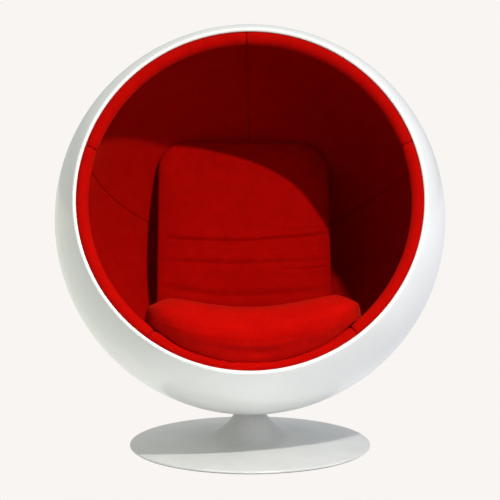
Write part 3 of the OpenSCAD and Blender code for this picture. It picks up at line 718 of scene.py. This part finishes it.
def seat_sheets(shares, turns, inset):
    """Top and underside of the seat over its outline: powers of cos and sin, with rounded sections. Its
    ends are fuller, and its front further ahead, than the plain solid."""
    share, turn = shares[:, None], turns[None, :]
    power = 2 / SEAT_ROLL_POWER
    x = SEAT_SHIFT + (SEAT_HALF_W - inset) * share * signed_power(np.cos(turn), power)
    y = (SEAT_Y - SEAT_ROLL_AHEAD / 2
         + (SEAT_HALF_D + SEAT_ROLL_AHEAD / 2 - inset) * share * signed_power(np.sin(turn), power))
    side = (x - SEAT_SHIFT) / SEAT_HALF_W
    floor = seat_floor(x, y)
    plain_top = seat_plain(x, y) + SEAT_ROLL_RISE * side ** 2 + SEAT_CROWN * (1 - share ** 2) - inset
    seam = np.maximum(floor + FABRIC, plain_top - SEAT_SEAM_DROP + SEAT_SEAM_RISE * np.abs(side) ** 3)
    swell = SEAT_FRONT_SWELL + SEAT_END_SWELL * np.cos(turn) ** 2
    top = seam + (plain_top - seam) * power_swell(share, swell)
    under = seam - (seam - floor) * power_swell(share, SEAT_UNDER_SWELL)
    return np.stack([x, y, top], -1), np.stack([x, y, under], -1)


def back_outline(count):
    """Outline of the back cushion: a rectangle with round corners, as (across, along) pairs."""
    half_w = (BACK_TOP_W + BACK_FOOT_W) / 4
    half_l = BACK_LEN / 2
    corner = np.array([half_w - BACK_CORNER_R, half_l - BACK_CORNER_R])
    parts = []
    for k, (sx, sy) in enumerate([(1, 1), (-1, 1), (-1, -1), (1, -1)]):
        turn = arc(corner * (sx, sy), BACK_CORNER_R, k * math.pi / 2, (k + 1) * math.pi / 2, count)
        following = corner * [(-1, 1), (-1, -1), (1, -1), (1, 1)][k]
        angle = (k + 1) * math.pi / 2
        target = following + BACK_CORNER_R * np.array([math.cos(angle), math.sin(angle)])
        side = turn[-1] + np.linspace(0, 1, count + 2)[1:-1, None] * (target - turn[-1])
        parts += [turn, side]
    return np.concatenate(parts)


def back_room(points):
    """Distance from places of the back cushion to the lining, straight behind them."""
    v = points - CENTRE
    along = v @ -BACK_FACE
    return np.sqrt(np.maximum(0, along ** 2 - (v ** 2).sum(-1) + CUSHION_R ** 2)) - along


def leftness(across):
    """How far left a place of the back cushion lies, from 0 in the middle to 1 at its edge."""
    return np.clip(-across / BACK_TOP_W * 2, 0, 1)


def back_sheets(shares, outline):
    """Face and rear of the back cushion: the outline drawn in by a share and spread towards the foot,
    raised off its plane by a rounded section; the rear lies against the lining where it reaches it."""
    share = shares[:, None]
    along = outline[None, :, 1] * share
    spread_w = 1 + (BACK_TOP_W - BACK_FOOT_W) * along / BACK_LEN / ((BACK_TOP_W + BACK_FOOT_W) / 2)
    across = outline[None, :, 0] * share * spread_w
    across = across - BACK_LEFT_FULL * leftness(across) * (0.5 + along / BACK_LEN)
    ahead = BACK_LEFT_AHEAD * leftness(across) ** 2
    base = (BACK_MID + across[..., None] * RIGHT + along[..., None] * BACK_UP
            + ahead[..., None] * BACK_FACE)
    room = back_room(base)
    push = np.maximum(0, BACK_EDGE_ROOM - room)
    full = BACK_HALF_T * power_swell(share, BACK_SWELL)
    fore = full + BACK_CROWN * (1 - share ** 2)
    aft = full + BACK_FULLNESS * (1 - share ** 4)
    face = base + (push + fore)[..., None] * BACK_FACE
    rear = base + (push - np.minimum(aft, room + push))[..., None] * BACK_FACE
    return face, rear


def joined_sheets(name, upper, lower):
    """Closed mesh from two sheets of rings that end on one seam, each with a fan round its middle."""
    rings, count = upper.shape[:2]
    faces = np.concatenate([grid_faces(rings, count, False, True),
                            grid_faces(rings, count, False, True, rings * count, True)])
    return close_up(bare_mesh(name, np.stack([upper, lower]), faces), 1e-5)


def with_modifiers(mesh, *settings):
    """Mesh that a row of modifiers makes of another, each given as its kind and its settings."""
    carrier = bpy.data.objects.new("carrier", mesh)
    bpy.context.scene.collection.objects.link(carrier)
    for kind, values in settings:
        modifier = carrier.modifiers.new(kind.title(), kind)
        for key, value in values.items():
            setattr(modifier, key, value)
    graph = bpy.context.evaluated_depsgraph_get()
    made = bpy.data.meshes.new_from_object(carrier.evaluated_get(graph))
    bpy.data.objects.remove(carrier)
    return made


def coordinates(mesh):
    """Array of a mesh's points."""
    flat = np.zeros(len(mesh.vertices) * 3, np.float32)
    mesh.vertices.foreach_get("co", flat)
    return flat.reshape(-1, 3).astype(float)


def set_coordinates(mesh, points):
    """Moves a mesh's points to an array of places."""
    mesh.vertices.foreach_set("co", points.astype(np.float32).ravel())
    mesh.update()


def distance_to_line(points, line):
    """Distance of each point to the nearest corner of a finely divided line."""
    step = np.linalg.norm(np.diff(line, axis=0), axis=1).max()
    near = np.full(len(points), np.inf)
    for start in range(0, len(line), 64):
        part = line[start:start + 64]
        near = np.minimum(near, np.linalg.norm(points[:, None] - part[None], axis=2).min(1))
    return np.maximum(0, near - step / 2)


def puff(mesh, seam, cap, held):
    """Inflates a cushion by a cloth simulation under pressure, and caps how far a point moves; held is
    the distance from the seam within which points stay, and none is held where it is below zero."""
    start = coordinates(mesh)
    carrier = bpy.data.objects.new("puffing", mesh)
    scene = bpy.context.scene
    scene.collection.objects.link(carrier)
    group = carrier.vertex_groups.new(name="seam")
    near = np.nonzero(distance_to_line(start, seam) < held)[0]
    group.add(near.tolist(), 1.0, "REPLACE")
    cloth = carrier.modifiers.new("Cloth", "CLOTH")
    for key, value in PUFF_CLOTH.items():
        setattr(cloth.settings, key, value)
    cloth.settings.effector_weights.gravity = 0
    cloth.point_cache.frame_start = 1
    cloth.point_cache.frame_end = PUFF_FRAMES
    for number in range(1, PUFF_FRAMES + 1):
        scene.frame_set(number)
    graph = bpy.context.evaluated_depsgraph_get()
    moved = bpy.data.meshes.new_from_object(carrier.evaluated_get(graph))
    move = coordinates(moved) - start
    far = np.linalg.norm(move, axis=1)[:, None]
    bpy.data.objects.remove(carrier)
    scene.frame_set(1)
    set_coordinates(moved, start + move * np.minimum(1, cap / np.maximum(far, 1e-9)))
    return moved


def inside_ball(points, radius):
    """Draws points that lie beyond a radius back to the sphere of the lining."""
    v = points - CENTRE
    far = np.linalg.norm(v, axis=1)[:, None]
    return CENTRE + v * np.minimum(1, radius / far)


def off_ring(points, room):
    """Pushes points that are in the padded ring, or within a room of it, out to that room: each is
    compared with the nearest corner of the ring's finely divided profile."""
    v = points - CENTRE
    ahead = v @ AHEAD
    flat = v - ahead[:, None] * AHEAD
    out = np.linalg.norm(flat, axis=1)
    ring_rear = LINING_R * math.cos(RING_SEAM_ANGLE)
    close = np.nonzero((ahead > ring_rear - room) & (out > RING_CLEAR_R - room))[0]
    profile, inward = ring_profile()
    number = np.arange(len(profile))
    corner = np.linspace(0, number[-1], 12 * len(number))
    line, into = [np.stack([np.interp(corner, number, row[:, k]) for k in (0, 1)], -1)
                  for row in (profile, inward)]
    moved = points.copy()
    for part in np.array_split(close, 1 + len(close) // 4000):
        place = np.stack([out[part], ahead[part]], -1)
        nearest = np.linalg.norm(place[:, None] - line[None], axis=2).argmin(1)
        deep = ((place - line[nearest]) * into[nearest]).sum(1) + room
        push = -np.maximum(0, deep)[:, None] * into[nearest]
        moved[part] += push[:, :1] * flat[part] / out[part, None] + push[:, 1:] * AHEAD
    return moved


def fold(across, along, line, depth, width, ridge):
    """One fold: a valley along a line, given as (across, along) pairs that a smooth curve fits, with a
    ridge above it and half a ridge below, each a bell curve. They fade out at the ends of the line."""
    line = np.asarray(line) * MM
    order = np.argsort(line[:, 0])
    smooth = np.polynomial.Polynomial.fit(line[order, 0], line[order, 1], min(3, len(line) - 1))
    off = along - smooth(across)
    low, high = line[:, 0].min(), line[:, 0].max()
    fade_w = 0.18 * (high - low)
    fade = 1 / (1 + np.exp(-(across - low) / fade_w * 6)) / (1 + np.exp((across - high) / fade_w * 6))
    valley = -depth * bell(off, width)
    crest = ridge * bell(off - 2.2 * width, 2.0 * width)
    under = 0.5 * ridge * bell(off + 2.4 * width, 2.2 * width)
    return fade * (valley + crest + under)


def make_cushion(name, upper, lower, cap, held, ironing, material, shape, replaced):
    """Cushion from two sheets: remeshed, puffed, ironed flat in so many rounds, subdivided, and given its
    folds and its room by a shape function. It stands for the CAD nodes that it replaces."""
    mesh = joined_sheets(name, upper, lower)
    mesh = with_modifiers(mesh, ("REMESH", {"mode": "VOXEL", "voxel_size": CUSHION_GRAIN}))
    mesh = puff(mesh, upper[-1], cap, held)
    mesh = with_modifiers(mesh, ("SMOOTH", {"factor": 0.5, "iterations": ironing}),
                          ("SUBSURF", {"levels": 1, "render_levels": 1}))
    set_coordinates(mesh, shape(coordinates(mesh)))
    mesh.shade_smooth()
    piece = put_piece(name, mesh, material)
    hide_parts(*replaced)
    return piece


def box_blur(values, count):
    """Mean of each value of a closed line and its neighbours."""
    return sum(np.roll(values, k, axis=0) for k in range(-count, count + 1)) / (2 * count + 1)


def sewn_seam(name, cushion, line, material):
    """Plain seam round a cushion: two low ridges with the stitched groove between them, as a closed strip
    laid on the cushion. Each point of the line drops onto the plane of the nearest corner of the mesh."""
    points = coordinates(cushion.data)
    normals = np.zeros(len(points) * 3, np.float32)
    cushion.data.vertices.foreach_get("normal", normals)
    normals = normals.reshape(-1, 3)
    near = np.nonzero(distance_to_line(points, line) < 30 * MM)[0]
    chosen = [near[np.linalg.norm(part[:, None] - points[near][None], axis=2).argmin(1)]
              for part in np.array_split(line, 1 + len(line) // 40)]
    chosen = np.concatenate(chosen)
    up = box_blur(normals[chosen].astype(float), 4)
    up /= np.linalg.norm(up, axis=1)[:, None]
    laid = line - ((line - points[chosen]) * up).sum(1)[:, None] * up
    laid = box_blur(laid, 3)
    ahead = np.roll(laid, -1, axis=0) - np.roll(laid, 1, axis=0)
    length = np.cumsum(np.linalg.norm(ahead, axis=1)) / 2
    aside = np.cross(ahead, up)
    aside /= np.linalg.norm(aside, axis=1)[:, None]
    pucker = 1 + 0.3 * np.sin(length / SEWN_PUCKER * TAU)
    rise = np.where(SEWN_ABOVE > 0, SEWN_ABOVE * pucker[:, None], SEWN_ABOVE)
    strip = laid[:, None] + SEWN_ACROSS[None, :, None] * aside[:, None] + rise[..., None] * up[:, None]
    faces = grid_faces(len(line), len(SEWN_ACROSS), True, True)
    return put_mesh(name, strip, faces, material)


def evenly(line, step):
    """Points a step apart along a closed line."""
    closed = np.concatenate([line, line[:1]])
    run = np.concatenate([[0], np.cumsum(np.linalg.norm(np.diff(closed, axis=0), axis=1))])
    at = np.linspace(0, run[-1], int(run[-1] / step), endpoint=False)
    return np.stack([np.interp(at, run, closed[:, k]) for k in range(3)], -1)


# Both cushions' sheets are rings at shares of the outline that lie closer together towards the seam
SHARES = 1 - (1 - np.linspace(0, 1, 30)) ** 1.8
seat_upper, seat_lower = seat_sheets(SHARES, np.linspace(0, TAU, 240, endpoint=False), SEAT_INSET)
back_fore, back_aft = back_sheets(SHARES, back_outline(28))


def shape_seat(points):
    """Keeps the seat in the bowl, up to where the ring starts, and clear of the padded ring."""
    behind = ((points - CENTRE) @ AHEAD < RING_EDGE[1] - RING_EDGE_R)[:, None]
    return off_ring(np.where(behind, inside_ball(points, CUSHION_R), points), RING_ROOM)


# Folds of the back cushion, in millimetres: the line from its middle, the depth, the width, the ridge
BACK_FOLDS = [
    ([(-225, -20), (-113, -24), (-31, -34), (43, -30), (141, -12), (250, 4)], 7.5, 7, 5.0),
    ([(110, 8), (188, 17), (252, 30)], 4.0, 4.5, 2.5),
    ([(150, -24), (200, -14), (252, -6)], 3.0, 4.5, 2.0),
    ([(-245, -84), (-169, -100), (-8, -92), (100, -94), (176, -90), (256, -74)], 5.0, 8, 3.5),
    ([(120, -112), (175, -110), (254, -95)], 3.5, 5, 2.0),
    ([(-244, -168), (-175, -182), (-31, -192), (100, -188), (243, -172)], 4.0, 10, 3.0),
]


def shape_back(points):
    """Folds the back cushion's face, then keeps it off the lining and off the seat."""
    v = points - BACK_MID
    across, along, off = v @ RIGHT, v @ BACK_UP, v @ BACK_FACE
    front = 1 / (1 + np.exp(-(off - 8 * MM) / (6 * MM)))
    lift = sum(fold(across, along, line, depth * MM, width * MM, ridge * MM)
               for line, depth, width, ridge in BACK_FOLDS)
    points = points + (lift * front)[:, None] * BACK_FACE
    points = inside_ball(points, CUSHION_R)
    x, y = points[:, 0], points[:, 1]
    side = ((np.abs(x - SEAT_SHIFT) / SEAT_HALF_W) ** SEAT_OUTLINE_POWER
            + (np.abs(y - SEAT_Y) / SEAT_HALF_D) ** SEAT_OUTLINE_POWER)
    share = np.minimum(1, side) ** (1 / SEAT_OUTLINE_POWER)
    seam = seat_seam(x, y)
    crowned = seat_plain(x, y) + SEAT_CROWN * (1 - share ** 2)
    top = seam + (crowned - seam) * power_swell(share, SEAT_REST_SWELL)
    points[:, 2] = np.maximum(points[:, 2], np.where(side < 1, top + SEAT_ROOM, -1))
    return points


# The pieces

shell = make_shell()
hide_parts("shell")
base = make_base()
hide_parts("base_cover")
make_ring_padding()
for gore in range(len(GORES)):
    make_ring_cover(gore)
    make_lining(gore)
seat = make_cushion("seat_cushion", seat_upper, seat_lower, cap=12 * MM, held=-1, ironing=10,
                    material="seat_wool", shape=shape_seat,
                    replaced=["seat_core", "seat_top_cover", "seat_under_cover"])
back = make_cushion("back_cushion", back_fore, back_aft, cap=22 * MM, held=5 * MM, ironing=2,
                    material="back_wool", shape=shape_back,
                    replaced=["back_core", "back_front_cover", "back_rear_cover"])

sewn_seam("seat_seam", seat, evenly(seat_upper[-1], SEWN_STEP), "seat_wool")
sewn_seam("back_seam", back, evenly(back_fore[-1], SEWN_STEP), "back_wool")

# The CAD nodes that stay get their material
for part in frame["record"]["subparts"]:
    node_mesh = frame["nodes"][part["node"]].data
    node_mesh.materials.clear()
    node_mesh.materials.append(MATERIALS[part["material_slot"]])


# Studio

BACKDROP = "#F9F5F2"

# Light that the surroundings cast: its tint at the left and right, and its strength in places
ROOM_TINTS = ("#E0E2D9", "#D6DAE4")
FLOOR_TINTS = ("#F4F6ED", "#F0F1F7")
TINT_REACH = 0.8
ROOM_FRONT = 0.05
ROOM_SIDES = 0.71
ROOM_ABOVE = 1.7
FLOOR_NEAR = 0.96
FLOOR_FRONT = 0.3
FLOOR_R = 30.0
FLOOR_DROP = 0.5 * MM

# Camera, fitted to the photograph: distance before the swivel axis, height, angle up from straight down
CAMERA_DISTANCE = 4.5
CAMERA_HEIGHT = 1.068
CAMERA_PITCH = math.radians(83.612)
CAMERA_LENS = 114.73
CAMERA_SENSOR = 36


def seen_and_cast(tree, across, cast, tints):
    """Colour and strength of surroundings: where the camera sees them they are the even backdrop, and
    elsewhere they cast light of a given strength, whose tint changes from left to right."""
    direct = add(tree, "LightPath").outputs["Is Camera Ray"]
    level = add(tree, "MapRange", {"Value": direct, "To Min": cast, "To Max": 1.0}).outputs["Result"]
    tint = two_tones(tree, across, -TINT_REACH, TINT_REACH, *tints)
    colour = add(tree, "Mix", {0: direct, 6: tint, 7: srgb(BACKDROP)}, data_type="RGBA").outputs[2]
    return {"Color": colour, "Strength": level}


def glow(name):
    """Glow of the floor: it casts less light from far in front than near by, in a smooth step."""
    material = bpy.data.materials.new(name)
    material.use_nodes = True
    tree = material.node_tree
    tree.nodes.clear()
    split = add(tree, "SeparateXYZ", {"Vector": add(tree, "TexCoord").outputs["Object"]}).outputs
    cast = add(tree, "MapRange", {"Value": split["Y"], "From Min": -1.6, "From Max": -0.5,
                                  "To Min": FLOOR_FRONT, "To Max": FLOOR_NEAR},
               interpolation_type="SMOOTHSTEP").outputs["Result"]
    light = add(tree, "Emission", seen_and_cast(tree, split["X"], cast, FLOOR_TINTS))
    add(tree, "OutputMaterial", {"Surface": light.outputs["Emission"]})
    return material


def make_floor():
    """Round pale floor, a hair under the base."""
    turn = np.linspace(0, TAU, 96, endpoint=False)
    points = np.stack([FLOOR_R * np.cos(turn), FLOOR_R * np.sin(turn), 0 * turn - FLOOR_DROP], -1)
    mesh = bpy.data.meshes.new("studio_floor")
    mesh.from_pydata(points.tolist(), [], [list(range(96))])
    floor = bpy.data.objects.new("studio_floor", mesh)
    bpy.context.scene.collection.objects.link(floor)
    mesh.materials.append(glow("pale studio floor"))


def make_world():
    """Pale surroundings, whose light is dim in front, in a smooth step, bright at the sides, and stronger
    the higher it comes from."""
    world = bpy.data.worlds.new("studio")
    bpy.context.scene.world = world
    world.use_nodes = True
    tree = world.node_tree
    tree.nodes.clear()
    split = add(tree, "SeparateXYZ", {"Vector": add(tree, "TexCoord").outputs["Generated"]}).outputs
    around = add(tree, "MapRange", {"Value": split["Y"], "From Min": -0.8, "From Max": -0.1,
                                    "To Min": ROOM_FRONT, "To Max": ROOM_SIDES},
                 interpolation_type="SMOOTHSTEP").outputs["Result"]
    above = add(tree, "MapRange", {"Value": split["Z"], "To Min": 1.0,
                                   "To Max": ROOM_ABOVE}).outputs["Result"]
    cast = add(tree, "Math", {0: around, 1: above}, operation="MULTIPLY").outputs["Value"]
    light = add(tree, "Background", seen_and_cast(tree, split["X"], cast, ROOM_TINTS))
    add(tree, "OutputWorld", {"Surface": light.outputs["Background"]})


def area_light(name, place, aim, size, power, code, beam=180):
    """Square soft light at a place, turned to its aim, with a beam as wide as said, in degrees."""
    lamp = bpy.data.lights.new(name, "AREA")
    lamp.size = size
    lamp.energy = power
    lamp.color = srgb(code)[:3]
    lamp.spread = math.radians(beam)
    light = bpy.data.objects.new(name, lamp)
    light.location = place
    light.rotation_euler = (Vector(aim) - Vector(place)).to_track_quat("-Z", "Y").to_euler()
    bpy.context.scene.collection.objects.link(light)


def make_camera():
    """Camera in front of the mouth."""
    data = bpy.data.cameras.new("camera")
    data.sensor_width = CAMERA_SENSOR
    data.lens = CAMERA_LENS
    camera = bpy.data.objects.new("camera", data)
    camera.location = (0, -CAMERA_DISTANCE, CAMERA_HEIGHT)
    camera.rotation_euler = (CAMERA_PITCH, 0, 0)
    bpy.context.scene.collection.objects.link(camera)
    bpy.context.scene.camera = camera


make_camera()
make_floor()
make_world()
area_light("key", place=(0.86, -2.08, 2.3), aim=(-0.1, -2.43, 0.8), size=0.1, power=112, code="#FFFCF8")
area_light("low fill", place=(0, -2.6, 0.12), aim=(0, 0, 0.1), size=0.25, power=0.18, code="#FFFFFF",
           beam=20)
area_light("fill", place=(1.3, -3.3, 1.5), aim=(0, 0.1, 0.7), size=1.0, power=20, code="#FAFCFF")
bpy.context.scene.view_settings.view_transform = "Standard"
